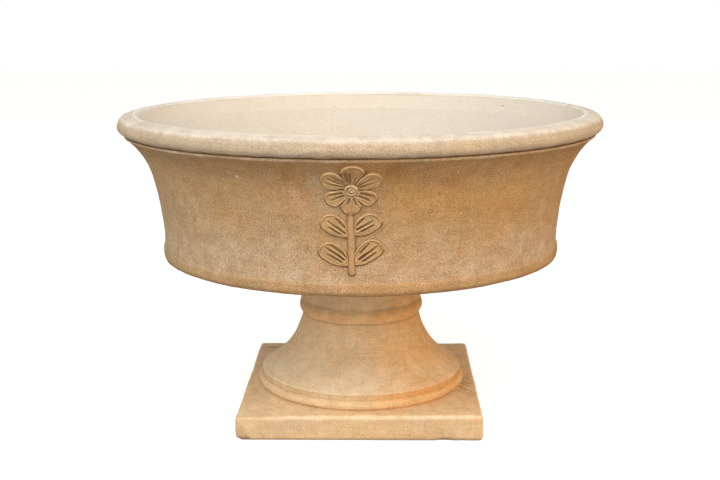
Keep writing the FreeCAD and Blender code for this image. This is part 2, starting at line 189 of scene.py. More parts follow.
def off_axis(place):
    """How far a place lies from the pot's upright axis."""
    return Vector((place.x, place.y)).length


def paint(piece, group, weight_at):
    """A weight group from a rule on each vertex's place in millimetres."""
    layer = piece.vertex_groups.new(name=group)
    for vertex in piece.data.vertices:
        weight = weight_at(vertex.co / mm)
        if weight > 0.001:
            layer.add([vertex.index], min(1.0, weight), "REPLACE")


def push(piece, height, group, texture=None, direction="NORMAL"):
    """Moves the painted skin out by height in millimetres, or in and out by a texture."""
    only(piece)
    step = piece.modifiers.new("push", "DISPLACE")
    step.strength = height * mm
    step.mid_level = 0.5 if texture else 0.0
    step.direction = direction
    step.vertex_group = group
    if texture:
        step.texture = texture
    bpy.ops.object.modifier_apply(modifier=step.name)


def soften(piece, rounds, group=""):
    """Wears the painted skin, or all of it, as a wet sponge does."""
    only(piece)
    step = piece.modifiers.new("soften", "SMOOTH")
    step.factor = 0.5
    step.iterations = rounds
    step.vertex_group = group
    bpy.ops.object.modifier_apply(modifier=step.name)


# %% Dents at random places
def dents(piece, group, count, widths, seed, allowed):
    """A weight group of round hollows, 1 in their middles, at random places of the skin."""
    rolls = random.Random(seed)
    verts = piece.data.vertices
    tree = kdtree.KDTree(len(verts))
    for vertex in verts:
        tree.insert(vertex.co, vertex.index)
    tree.balance()
    places = [vertex.index for vertex in verts if allowed(vertex.co / mm)]
    weights = {}
    for _ in range(count):
        width = rolls.uniform(*widths) * mm
        middle = verts[rolls.choice(places)].co + Vector([rolls.uniform(-1, 1) * mm for _ in range(3)])
        for _, index, distance in tree.find_range(middle, width):
            weights[index] = max(weights.get(index, 0), 1 - ease(0.2 * width, width, distance))
    layer = piece.vertex_groups.new(name=group)
    for index, weight in weights.items():
        layer.add([index], weight, "REPLACE")
    print(piece.name, "has", count, group)


# %% Three sizes of waves
def cloud(name, size, depth):
    """A cloud texture with waves of that size in millimetres."""
    texture = bpy.data.textures.new(name, "CLOUDS")
    texture.noise_scale = size * mm
    texture.noise_depth = depth
    return texture


slow_waves = cloud("slow_waves", 90, 1)
hand_waves = cloud("hand_waves", 28, 2)
lumps = cloud("lumps", 9, 2)


def loosen(piece, *heights):
    """Slow waves, hand waves and lumps of those heights on the free skin."""
    for height, waves in zip(heights, (slow_waves, hand_waves, lumps)):
        push(piece, height, "free", waves)


print("slow waves of", round(slow_waves.noise_scale / mm), "mm")

# %% [markdown]
# ## Tones of the fired clay
# Fired clay is never one colour. Lime blooms pale on top and dust stays in the creases. Painted
# shade darkens creases, recesses and undersides, painted highlights pale some edges and faces that
# look up, and a painted warm light turns the right side warmer. These slow changes follow the shape
# of the pot, so they are painted on the vertices: red holds bloom and painted highlight, green holds
# dirt and painted shade, and blue holds warmth and painted warm light. The material reads them later
# and adds everything that is finer than a vertex.

# %% Paint bloom, dirt and warmth
def tone(piece, rule):
    """Vertex tones from a rule on each place in millimetres, a slow patch and the facing."""
    layer = piece.data.color_attributes.new("tone", "FLOAT_COLOR", "POINT")
    for vertex, spot in zip(piece.data.vertices, layer.data):
        place = vertex.co / mm
        patch = noise.noise(place / 55) * 0.6 + noise.noise(place / 19) * 0.4
        # Red is bloom and painted highlight, green is dirt and painted shade, blue is warmth and painted
        # warm light.
        bloom_and_highlight, dirt_and_shade, warmth_and_warm_light = rule(place, patch, vertex.normal)
        spot.color = (bloom_and_highlight, dirt_and_shade, warmth_and_warm_light, 1.0)
    print(piece.name, "is toned on", len(layer.data), "vertices")


# Painted warm light from the right side.
def warm_light_side(place):
    """Painted warm light: warmer towards the right of the flower and cooler towards its left."""
    return 0.45 + 0.3 * ease(-300, 320, place.x - 0.2 * place.y)


def inside_bloom(place, patch):
    """An even coat of lime on the inside, of wall and rim alike."""
    return 1.42 + 0.06 * noise.noise(place / 130) + 0.03 * patch


print("warmth on the right:", round(warm_light_side(Vector((400, 0, 0))), 2))

# %% [markdown]
# ## The bowl's wall
# The wall is a ring with a steep lower part that flares out into the rim. On the wheel it would be
# one pull of the hands. Two arcs that touch smoothly give the same line: a long one below and a
# tight one above. A thin ridge and a dark crease close it under the rim.

# %% Sizes of the wall
wall_foot = (330.43, 293.0)
toe_edge = (281.4, 293.0)
toe_height = 26.0
joint_height = 480.5
joint_inside = (352.33, joint_height)
ridge_edge = (389.9, 479.2)
ridge_top = (388.0, joint_height)
wall_thickness = 28.0
lower_radius = 429.08
upper_radius = 127.0
lower_middle = Vector((759.5, 293.0))
upper_middle = Vector((470.17, 379.8))
lower_turn = math.radians(16.7)
ridge_lean = math.radians(48.21)
inner_lean = math.radians(41.0)
toe_lean = math.asin(toe_height / (lower_radius + wall_thickness))


def wall_face(lean, outset=0.0):
    """Radius and height of the wall's face where it leans by that angle."""
    middle, radius = (lower_middle, lower_radius) if lean <= lower_turn else (upper_middle, upper_radius)
    return middle + Vector((-math.cos(lean), math.sin(lean))) * (radius - outset)


print("wall's face at the ridge:", [round(side, 1) for side in wall_face(ridge_lean)])


# %% Throw the wall
def flare(first, last, outset, spacing=3.0):
    """Places up or down the wall's face between two leans."""
    stops, places = [first, lower_turn, last], []
    for low, high in zip(stops, stops[1:]):
        radius = lower_radius if max(low, high) <= lower_turn + 0.001 else upper_radius
        steps = max(2, round(abs(high - low) * (radius - outset) / spacing))
        places += [wall_face(low + (high - low) * (step + 1) / steps, outset) for step in range(steps)]
    return places


outer = [Vector(wall_foot)] + flare(0, ridge_lean, 0)
ridge = stroke(outer[-1], ridge_edge, -1.6, 1.2) + stroke(ridge_edge, ridge_top, 0.2, 1.2)
across = stroke(ridge_top, joint_inside, spacing=5)
inner = flare(inner_lean, toe_lean, -wall_thickness)
toe = stroke(inner[-1], toe_edge, 6.0) + stroke(toe_edge, wall_foot, spacing=7)
wall = throw("bowl_wall_clay", outer + ridge + across + inner + toe, 640)


# %% Loosen the wall
def wall_free(place):
    """Free skin of the wall, away from its joints and from the flower sprig."""
    sprig_side = ease(34, 62, abs(place.x)) if place.y < 0 else 1.0
    return hump(294, 302, 470, 479, place.z) * sprig_side


def under_rim(place):
    """The ridge and crease on the outer side, which wobble a little."""
    return ease(470, 477, place.z) * ease(378, 383, off_axis(place))


paint(wall, "ridge", under_rim)
soften(wall, 3, "ridge")
push(wall, 1.8, "ridge", hand_waves, "Z")
push(wall, 1.2, "ridge", lumps, "Z")
paint(wall, "free", wall_free)
loosen(wall, 2.6, 1.5, 0.55)
dents(wall, "dents", 150, (2.0, 5.5), 5, lambda place: wall_free(place) > 0.9)
push(wall, -0.9, "dents")

# %% Lay the wall's face flat
upper_start = 125.05
sprig_foot = 11.5


def unrolled(place):
    """Across and up on the wall's face laid flat from the sprig's foot, and out from it."""
    radius = off_axis(place)
    arm, arc, start = Vector((lower_middle.x - radius, place.z - lower_middle.y)), lower_radius, 0.0
    if math.atan2(arm.y, arm.x) > lower_turn:
        arm, arc = Vector((upper_middle.x - radius, place.z - upper_middle.y)), upper_radius
        start = upper_start - lower_turn * upper_radius
    lean, out = math.atan2(arm.y, arm.x), arc - arm.length
    across = math.atan2(place.x, -place.y) * (radius - out * math.cos(lean))
    return Vector((across, start + lean * arc - sprig_foot, out))


def near(flat, across, up, width):
    """1 at a place of the unrolled wall, and 0 from that width on."""
    return 1 - ease(0.2 * width, width, math.hypot(flat.x - across, flat.y - up))


print("ridge on the flat drawing:", round(unrolled(Vector((0, -ridge_edge[0], ridge_edge[1]))).y, 1))

# %% Tones of the wall
# Each is a place across and up on the flat drawing, and a width.
stains = [(-82, 150, 34), (-68, 105, 26), (-60, 128, 20), (62, 160, 30), (-45, 10, 30), (150, 120, 50)]
pale_halo = (-46, 130, 70)
lime_spot = (-169, 146, 3)


def wall_tone(place, patch, facing):
    """Lime inside. Outside, painted shade under the rim and in the crease, stains, a pale foot, and a
    painted highlight on the ridge.
    """
    flat = unrolled(place)
    if flat.z < -wall_thickness / 2:
        return inside_bloom(place, patch), 0.1 * ease(330, 296, place.z), warm_light_side(place)
    stain = max(near(flat, *spot) for spot in stains)
    # Painted shade on the upper wall under the rim and in the crease, less on the ridge.
    top = ease(405, 474, place.z)
    crease_shade = ease(477.8, 479.8, place.z)
    ridge_highlight = hump(473, 476, 478.4, 479.6, place.z)
    dirt_and_shade = 0.42 * top * (1 - 0.6 * ridge_highlight) + 0.3 * crease_shade
    dirt_and_shade += 0.1 * ease(300, 294, place.z) + 0.14 * stain + 0.1 * patch
    # Painted highlight along the ridge under the crease.
    bloom_and_highlight = 0.12 + 0.12 * patch + 0.2 * ridge_highlight * (1 + 1.5 * patch)
    bloom_and_highlight += 0.12 * near(flat, *pale_halo) + 1.3 * near(flat, *lime_spot)
    bloom_and_highlight += 0.19 * ease(400, 300, place.z)
    return bloom_and_highlight, dirt_and_shade, warm_light_side(place) + 0.08 * patch + 0.2 * stain


tone(wall, wall_tone)
print("stains on the wall:", len(stains))

# %% [markdown]
# ## The rolled rim
# The rim is a thick coil with a full, rounded face, a nearly flat top and a soft inner lip. Its
# widest line is low, which throws a shadow into the crease below.

# %% Throw the rim
rim_outline = outline(
    joint_inside,
    (387.6, joint_height),
    (391.8, 482.4, -0.5),
    (400.0, 492.5, -2.2),
    (395.7, 503.5, -1.2),
    (389.7, 507.4, -1.0),
    (370.0, 510.0, -0.9),
    (365.0, 505.0, 2.1),
    spacing=1.9,
)
rim = throw("bowl_rim_clay", rim_outline, 1040)
paint(rim, "edge", lambda place: under_rim(place) * ease(490, 484, place.z))
push(rim, 2.6, "edge", hand_waves, "Z")
push(rim, 1.6, "edge", lumps, "Z")
paint(rim, "free", lambda place: ease(480.6, 484, place.z))
loosen(rim, 1.4, 1.0)
paint(rim, "pitted", lambda place: 0.4 + 0.6 * under_rim(place) * ease(501, 493, place.z))
push(rim, 1.3, "pitted", lumps)
dents(rim, "dents", 200, (1.8, 4.6), 11, lambda place: place.z > 484)
push(rim, -0.8, "dents")
dents(rim, "pits", 420, (1.9, 3.0), 12, lambda place: 483 < place.z < 493 and place.length > 600)
push(rim, -0.9, "pits")


# %% Tones of the rim
def rim_tone(place, patch, facing):
    """Painted shade in the crease, grime on the low face, lime on top, and a painted highlight along the
    inner lip.
    """
    radius = off_axis(place)
    top = ease(498, 507.5, place.z)
    lip = ease(376, 369, radius)
    # Painted shade where the rim's low face meets the crease.
    dirt_and_shade = 0.3 * ease(484.2, 482.4, place.z)
    dirt_and_shade += 0.2 * ease(498, 486, place.z) * (1 + 1.6 * patch)
    dirt_and_shade *= ease(370, 384, radius)
    bloom_and_highlight = 0.08 + 0.7 * top + 0.2 * patch
    bloom_and_highlight += (inside_bloom(place, patch) - bloom_and_highlight) * lip
    # Painted highlight along the inner lip of the top.
    lip_highlight = math.exp(-(((radius - 371.5) / 3) ** 2)) * top
    return bloom_and_highlight + lip_highlight * (1.1 + 1.2 * patch), dirt_and_shade, warm_light_side(place) * 0.7 + 0.3 * patch


tone(rim, rim_tone)

# %% [markdown]
# ## The bowl's floor
# The floor slab shows outside as a low band under the wall, and below as an arched underside that
# comes down to the foot. Inside it falls gently to the drain hole.

# %% Throw the floor
drain_radius = 16.0
floor_outline = outline(
    (drain_radius, 222.0),
    (62.0, 222.0),
    (62.0, 208.0),
    (77.0, 208.0),
    (77.0, 222.0),
    (103.0, 222.0),
    (328.0, 273.0, 5.0),
    (333.0, 278.0, -2.1),
    (333.0, 291.0),
    (330.4, 293.0),
    toe_edge,
    (74.0, 250.0),
    (19.0, 250.0),
    (drain_radius, 247.0),
    spacing=3.2,
)
floor_slab = throw("bowl_floor_clay", floor_outline, 432)


# %% Loosen the floor
def in_dish(place):
    """True above the middle of the slab, which rises by 0.12 of the radius, inside the wall."""
    radius = off_axis(place)
    return radius < 282 and place.z > 240 + radius * 0.12


def floor_free(place):
    """Free skin of the slab: the underside and band, and the dish inside the wall's toe."""
    radius = off_axis(place)
    below = ease(108, 125, radius) * ease(291.5, 287, place.z)
    dish = hump(22, 34, 262, 276, radius) * ease(246, 249, place.z)
    return max(0 if in_dish(place) else below, dish)


def band_edge(place):
    """The band's edges, but not its joint with the wall."""
    return ease(318, 324, off_axis(place)) * ease(292.8, 290, place.z)


paint(floor_slab, "edge", band_edge)
soften(floor_slab, 3, "edge")
paint(floor_slab, "free", floor_free)
loosen(floor_slab, 1.6, 1.2, 0.6)


# %% Tones of the floor
def floor_tone(place, patch, facing):
    """A limed dish that is dirtier in the middle, and below a clean band and an arch with painted shade,
    darkest along the band's lower curve.
    """
    radius = off_axis(place)
    if in_dish(place):
        limed = ease(150, 282, radius)
        return 0.85 + 0.4 * limed + 0.2 * patch, 0.16 * (1 - limed) + 0.12 * patch, 0.4
    band = ease(326, 332, radius)
    # Painted shade on the underside, and a painted shadow line along the band's lower curve.
    dirt_and_shade = 0.4 * (1 - band) + 0.6 * ease(282, 276, place.z) * ease(300, 325, radius)
    return 0.14 + 0.25 * patch, dirt_and_shade + 0.1 * patch, warm_light_side(place) + 0.3 * patch


tone(floor_slab, floor_tone)

# %% [markdown]
# ## The waisted foot
# The foot is hollow and turned: a rounded base moulding, a dark step, the flare, a groove and a
# bead under a plain collar. It is one outline spun round, like the wall. Its tones do the rest:
# dirt in step and groove, dirt and painted shade up the neck, a painted shade line at the collar's
# foot, a painted highlight on the flare, a cool collar and a painted warm light on the right side.

# %% Throw the foot
foot_outline = outline(
    (151.0, 42.0),
    (174.5, 42.0),
    (174.5, 57.0, -3.5),
    (171.0, 57.0),
    (171.0, 66.0),
    (172.0, 66.0),
    (172.0, 68.5),
    (100.5, 162.0, 13.9),
    (99.0, 163.5),
    (100.5, 165.0),
    (103.0, 187.0, -4.2),
    (103.0, 216.0),
    (100.0, 219.0, -0.9),
    (78.5, 219.0),
    (78.5, 203.0),
    (73.5, 203.0),
    (73.5, 162.0),
    (151.0, 66.0, -12.5),
    spacing=2.4,
)
foot = throw("waisted_foot_clay", foot_outline, 440)


# %% Loosen the foot
def foot_free(place):
    """Free skin of the foot, away from the plinth, the seat and the socket."""
    return hump(43, 47, 208, 216, place.z) * ease(82, 92, off_axis(place))


def foot_edge(place):
    """The step at the flare's foot, and the groove under the bead."""
    step = hump(43, 46, 72, 78, place.z)
    groove = hump(157, 161, 168, 172, place.z)
    return foot_free(place) * max(step, groove)


paint(foot, "edge", foot_edge)
soften(foot, 5, "edge")
paint(foot, "free", foot_free)
loosen(foot, 2.0, 1.5, 0.5)
dents(foot, "dents", 90, (1.8, 4.5), 23, lambda place: foot_free(place) > 0.9)
push(foot, -0.8, "dents")


# %% Tones of the foot
def foot_tone(place, patch, facing):
    """Dirt in the step and groove, dirt and painted shade up the neck, a painted shade line at the collar's
    foot, a painted highlight on the flare, a cool collar, and painted warm light on the right side.
    """
    step = hump(56, 58, 66, 68, place.z)
    groove = hump(161, 163, 165, 166.5, place.z)
    # Painted highlight on the flare, which faces up.
    lit_flare = 0.3 * hump(64, 68, 80, 125, place.z)
    # Painted warm light on the right side, which also greys the left.
    side = ease(-50, 110, place.x - 0.3 * place.y - 60)
    bead = hump(165, 170, 180, 188, place.z)
    collar = ease(184, 189, place.z)
    warmth_and_warm_light = 0.15 + 0.85 * side + 0.1 * step + bead * (0.1 + 0.4 * side) + 0.45 * patch
    warmth_and_warm_light += 0.35 * ease(130, 185, place.z)
    warmth_and_warm_light -= (0.3 + 0.2 * side) * collar + 0.35 * side * ease(58, 54, place.z)
    # Dirt and painted shade up the neck, under the bowl.
    dirt_and_shade = 0.26 * step + 0.2 * groove + 0.22 * ease(140, 190, place.z) + 0.15 * patch
    dirt_and_shade += 0.14 * ease(58, 56, place.z) + 0.2 * ease(47, 43, place.z)
    # Painted shade line in the crease at the collar's foot.
    dirt_and_shade += 0.26 * collar * ease(193, 188, place.z)
    return 0.3 - 0.2 * side + lit_flare + 0.25 * patch, dirt_and_shade, warmth_and_warm_light


tone(foot, foot_tone)

# %% [markdown]
# ## The square plinth
# The plinth is a slab with rounded edges that stands a little askew: one front corner is higher,
# the other is lower, and seven chips are out of its edges. A cube is bevelled and bored, rough
# stones are cut out of it at the chips, and a fine remesh then gives it even faces that can carry
# waves. Last, the whole slab is turned a little under the foot.

# %% Helpers that cut one shape out of another
def carve(piece, tool):
    """Cuts the tool out of the piece, and removes it."""
    only(piece)
    cut = piece.modifiers.new("cut", "BOOLEAN")
    cut.operation = "DIFFERENCE"
    cut.solver = "EXACT"
    cut.object = tool
    bpy.ops.object.modifier_apply(modifier=cut.name)
    bpy.data.objects.remove(tool)


def refine(piece, size, rounds):
    """Even quads of that size in millimetres, then rounds of smoothing that wear the edges."""
    only(piece)
    remesh = piece.modifiers.new("remesh", "REMESH")
    remesh.mode = "VOXEL"
    remesh.voxel_size = size * mm
    remesh.adaptivity = 0.0
    bpy.ops.object.modifier_apply(modifier=remesh.name)
    soften(piece, rounds)


def stone(place, size, seed):
    """A rough lump, as the bite of a chip."""
    only()
    bpy.ops.mesh.primitive_ico_sphere_add(subdivisions=3, radius=1, location=(0, 0, 0))
    lump = bpy.context.object
    for vertex in lump.data.vertices:
        bite = 1 + 0.35 * noise.noise(vertex.co * 1.3 + Vector((seed, 0, 0)))
        vertex.co = Vector([c * bite * s * mm for c, s in zip(vertex.co, size)]) + Vector(place) * mm
    return lump


# %% Cut the plinth
slab_side = 396
slab_height = 42
slab_middle = (0, 0, slab_height / 2 * mm)
slab_size = (slab_side * mm, slab_side * mm, slab_height * mm)
opening_radius = 138
slab_turn = math.radians(-0.73)
slab_edge = 5
slab_grid = 2.2
# Place and half sizes of each chip, in millimetres.
chips = [
    ((-199, -201, 0), (13, 12, 7)),
    ((-180, -204, 5), (19, 8, 8)),
    ((138, -202, 1), (17, 10, 6)),
    ((166, -201, -2), (14, 9, 6)),
    ((-10, -202, -1), (10, 7, 4)),
    ((200, -199, 31), (6, 6, 10)),
    ((-150, 200, 42), (15, 6, 5)),
]
only()
bpy.ops.mesh.primitive_cube_add(size=1, location=slab_middle, scale=slab_size)
plinth = bpy.context.object
plinth.name = plinth.data.name = "square_plinth_clay"
bpy.ops.object.transform_apply(location=True, rotation=True, scale=True)
pick(plinth)
bpy.ops.mesh.bevel(offset=slab_edge * mm, segments=3, affect="EDGES")
only()
bpy.ops.mesh.primitive_cylinder_add(
    vertices=96, radius=opening_radius * mm, depth=60 * mm, location=slab_middle
)
carve(plinth, bpy.context.object)
for number, (place, size) in enumerate(chips):
    carve(plinth, stone(place, size, number * 3.7))
refine(plinth, slab_grid, 2)
pick(plinth)
bpy.ops.transform.rotate(value=slab_turn, orient_axis="Z", center_override=(0, 0, 0))
bpy.ops.object.mode_set(mode="OBJECT")
corner = max(plinth.data.vertices, key=lambda vertex: vertex.co.x + vertex.co.y).co / mm
print("plinth faces:", len(plinth.data.polygons), "corner at", round(corner.x, 1), round(corner.y, 1))


# %% Loosen the plinth
def plinth_free(place):
    """Free skin of the slab, away from the ground and from under the foot."""
    return ease(0.8, 4, place.z) * ease(181, 188, off_axis(place))


def towards_corner(side):
    """A rule that grows towards the front corner on that side, and towards the top."""
    def weight_at(place):
        share = ease(20, 200, side * place.x) * ease(120, -190, place.y)
        return plinth_free(place) * share * place.z / slab_height

    return weight_at


paint(plinth, "free", plinth_free)
for group, side, height in (("high", 1, 1.8), ("low", -1, -3.6)):
    paint(plinth, group, towards_corner(side))
    push(plinth, height, group, direction="Z")
loosen(plinth, 2.0, 1.6, 0.8)


# %% Tones of the plinth
def plinth_tone(place, patch, facing):
    """A painted highlight on the upper edges, darker low down, on the sides and by the foot, painted shade
    in a chipped corner, a scratch and a blot.
    """
    edge = ease(34, 41, place.z)
    chip = ease(22, 12, (place - Vector((-190, -198, 4))).length)
    scratch = ease(3.4, 1, abs(place.y - 0.15 * place.x - 190))
    scratch *= ease(14, 10, abs(place.x + 172))
    foot_line = ease(196, 176, off_axis(place))
    flat_top = ease(0.7, 0.95, facing.z)
    blot = ease(1, 0.3, math.hypot((place.x - 182) / 24, (place.y + 53) / 80)) * flat_top
    # Darker low down and by the foot, with the scratch.
    dirt_and_shade = 0.3 * ease(7, 0, place.z) + 0.7 * scratch * edge + 0.1 * patch + 0.12 * foot_line
    dirt_and_shade += blot * max(0.0, 0.14 + 0.6 * noise.noise(place / 5))
    # Sides darker below the top edge, and painted shade in the chip's hollow.
    dirt_and_shade += 0.1 * flat_top + 0.33 * (1 - edge) + chip * (0.1 + 0.4 * ease(9, 2, place.z))
    # Painted highlight along the upper edges of the sides.
    bloom_and_highlight = 0.4 + 0.25 * edge * (1 - flat_top) + 0.2 * patch
    return bloom_and_highlight, dirt_and_shade, warm_light_side(place) - 0.15 + 0.25 * chip


tone(plinth, plinth_tone)

# %% [markdown]
# ## The flower sprig
# The sprig was pressed in a mould and stuck on with slip. Each measured petal and leaf already has
# its outline and raised lip, so a merged copy of it is the blank. A fine remesh gives it even
# faces, and smoothing gives the blunt edges that pressed clay has. The back goes a little into the
# wall. Then the face is shaped with two painted groups, one to press and one to lift: the middle
# goes down inside the lip, and each mark of the mould is a groove between two soft ridges. Some
# petals and all leaves are moved by up to three millimetres, as a thumb does, and the stem's top
# is tucked under the bottom petal.

# %% Make a blank from a measured piece
back_sink = 1.2
sprig_grid = 0.55


def blank(node_name):
    """A merged, softened copy of a measured piece, with its back sunk into the wall."""
    only()
    piece = bpy.data.objects.new(node_name + "_clay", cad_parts[node_name].data.copy())
    bpy.context.scene.collection.objects.link(piece)
    piece.data.name = piece.name
    piece.data.materials.clear()
    tidy_shell(piece)
    shift(piece, (0, back_sink * mm, 0), lambda place: unrolled(place / mm).z < 1.0)
    refine(piece, sprig_grid, 6)
    return piece


# %% Lines and marks on the drawing
groove_width = 1.25
ridge_width = 1.2
ridge_gap = 2.6


def off_line(spot, line):
    """How far a spot of the drawing lies from a line from x, y to x, y, and how far along it."""
    start, end = Vector(line[:2]), Vector(line[2:])
    run = end - start
    share = min(1.0, max(0.0, (Vector(spot[:2]) - start).dot(run) / run.length_squared))
    return (Vector(spot[:2]) - start - run * share).length, share


def mark_height(gap):
    """A groove on the line, 1 deep, and a soft ridge to each side of it."""
    ridge_height = 0.42 * math.exp(-(((gap - ridge_gap) / ridge_width) ** 2))
    return ridge_height - math.exp(-((gap / groove_width) ** 2))


print("a mark by the mm:", [round(mark_height(gap), 2) for gap in range(4)])

# %% Press marks into a face
# The edge is a piece's side between these heights off the wall, in millimetres.
edge_low, edge_high = 0.2, 1.2
lip_inset = 1.9
knot_level = 4.1
lowest_face, highest_face = 0.7, 4.9
reach = 5.0


def model(piece, level, marks, lip=0.6, root=None, crown=0.0, fade=0.55, depth=2.7):
    """Sinks the face to a level off the wall inside its upper lip, with grooves along the marks."""
    spots = [unrolled(vertex.co / mm) for vertex in piece.data.vertices]
    edge = kdtree.KDTree(len(spots))
    for index, spot in enumerate(spots):
        if edge_low < spot.z < edge_high:
            edge.insert((spot.x, spot.y, 0), index)
    edge.balance()
    press, lift = piece.vertex_groups.new(name="press"), piece.vertex_groups.new(name="lift")
    for index, spot in enumerate(spots):
        if spot.z < edge_high:
            continue
        rim_spot, _, inset = edge.find((spot.x, spot.y, 0))
        upper = ease(-0.4, 0.4, (rim_spot.y - spot.y) / max(inset, 0.1)) if lip else 0.0
        knot = ease(11, 5, math.hypot(spot.x - root[0], spot.y - root[1])) if root else 0
        face = level + (knot_level - level) * knot + crown * inset
        for line in marks:
            gap, share = off_line(spot, line)
            face += depth * mark_height(gap) * (1 - fade * share**2)
        face = min(highest_face, max(lowest_face, face))
        move = (face - spot.z) * ease(0.7 + 1.0 * upper, 2.4 + 1.4 * upper, inset)
        move += lip * upper * math.exp(-(((inset - lip_inset) / 1.1) ** 2)) * (1 - knot)
        if abs(move) > 0.01:
            (lift if move > 0 else press).add([index], min(1.0, abs(move) / reach), "REPLACE")
    push(piece, -reach, "lift", direction="Y")
    push(piece, reach, "press", direction="Y")


# %% Shape the petals
flower = Vector((0, 131.0))
# Each petal's level, how far it is moved aside and up, and its marks from the flower's middle.
petals = {
    "petal_bottom": (3.2, 0, 0, [(-2.6, -13, -5.5, -22), (2.8, -13, 6.5, -23)]),
    "petal_lower_left": (2.7, 0, 0, [(-9, -2.6, -30, -6.5), (-9, -6.6, -27, -15)]),
    "petal_upper_left": (2.5, -0.6, 2.6, [(-6, 8, -26, 23), (-8, 7, -32, 18.5), (-9, 4.5, -35, 11.5)]),
    "petal_top": (1.7, 0, 1.6, [(-5, 10, -13, 25), (-3, 10, -8, 29), (-0.5, 10, -1.5, 31), (3, 10, 7, 22)]),
    "petal_upper_right": (2.4, 1.4, 2.0, [(8, 7, 28, 20.5), (9, 4.2, 34.5, 13.5)]),
    "petal_lower_right": (2.7, 0, 0, [(9, -3.2, 30, -9.5), (9, -7.6, 25, -17)]),
}
sprig = {node_name: blank(node_name) for node_name in list(petals) + ["flower_button", "stem"]}
for node_name, (level, aside, rise, marks) in petals.items():
    model(sprig[node_name], level, [(a, b + flower.y, c, d + flower.y) for a, b, c, d in marks])
    shift(sprig[node_name], (aside * mm, -0.65 * rise * mm, rise * mm))
print("petals shaped:", len(petals))

# %% Shape the stem
stem = sprig["stem"]
shift(stem, (0, -1.5 * mm, 5 * mm), lambda place: unrolled(place / mm).y > 90)
model(stem, 2.2, [], lip=0.0, crown=0.8)
paint(stem, "tuck", lambda place: ease(64, 95, unrolled(place).y))
push(stem, 2.6, "tuck", direction="Y")
print("stem's top at", round(max(vertex.co.z for vertex in stem.data.vertices) / mm, 1), "mm")

# %% Shape the leaves
stem_line = -1.0
leaf_gap = 5.25
leaf_breadth = 28
drawing_foot = 304.5
# Each leaf's side, angle, length and height on the stem, and its marks in shares of its size.
leaves = {
    "leaf_lower_left": (
        (-1, 29.0, 45.0, 15.5),
        [(0.17, 0.32, 0.77, 0.50), (0.22, 0.15, 0.84, 0.27), (0.25, 0.0, 0.7, 0.0)],
    ),
    "leaf_lower_right": (
        (1, 37.0, 45.4, 16.4),
        [(0.22, 0.10, 0.86, 0.13), (0.37, 0.34, 0.73, 0.46), (0.3, -0.08, 0.7, -0.1)],
    ),
    "leaf_upper_left": (
        (-1, 34.0, 42.8, 58.2),
        [(0.14, 0.10, 0.81, 0.17), (0.30, 0.36, 0.66, 0.50), (0.3, -0.06, 0.66, -0.08)],
    ),
    "leaf_upper_right": (
        (1, 32.0, 40.5, 61.4),
        [(0.20, 0.18, 0.76, 0.17), (0.3, 0.4, 0.6, 0.5), (0.3, 0.0, 0.7, -0.04)],
    ),
}
for node_name, ((side, angle, length, tier), marks) in leaves.items():
    heading = math.radians(angle)
    root = Vector((stem_line + side * leaf_gap, tier))
    along = Vector((side * math.cos(heading), math.sin(heading))) * length
    aside = Vector((-side * math.sin(heading), math.cos(heading))) * leaf_breadth
    lines = [(*(root + along * a + aside * b), *(root + along * c + aside * d)) for a, b, c, d in marks]
    leaf = blank(node_name)
    model(leaf, 2.9, lines, root=root)
    stretch(leaf, (1.12, 1, 1.05), (root.x * mm, 0, (root.y + drawing_foot) * mm))
    shift(leaf, (-side * 1.8 * mm, 0, 0))
    sprig[node_name] = leaf
print("leaves shaped:", len(leaves))

# %% Shape the button
button = sprig["flower_button"]
button_place = (0, -354.7 * mm, 432.7 * mm)
curl_radius = 5.0
turns = [(math.cos(step / 2), math.sin(step / 2)) for step in range(4, 12)]
curl = [(curl_radius * x, flower.y + curl_radius * y) for x, y in turns]
model(button, 4.2, [first + second for first, second in zip(curl, curl[1:])], fade=0.0, depth=1.1)
stretch(button, (1.13, 1.0, 1.08), button_place)
shift(button, (0, -0.8 * mm, 1.4 * mm))
print("button marks:", len(curl) - 1)

# %% [markdown]
# ## Slip and a wavering hand
# Slip squeezes out where a pressed piece meets the wall, and is wiped off above but stays below.
# So the lower sides are swollen close to the wall. The same waves that loosen the bowl then make
# the whole sprig waver a little, so that no edge is straight.

# %% Slip edge, waves and tones of the sprig
def slip_edge(piece):
    """A weight group of the sides that face down, close to the wall."""
    layer = piece.vertex_groups.new(name="slip")
    for vertex in piece.data.vertices:
        weight = math.exp(-(((unrolled(vertex.co / mm).z - 0.4) / 0.5) ** 2))
        weight *= ease(0.35, -0.2, vertex.normal.z)
        if weight > 0.01:
            layer.add([vertex.index], weight, "REPLACE")


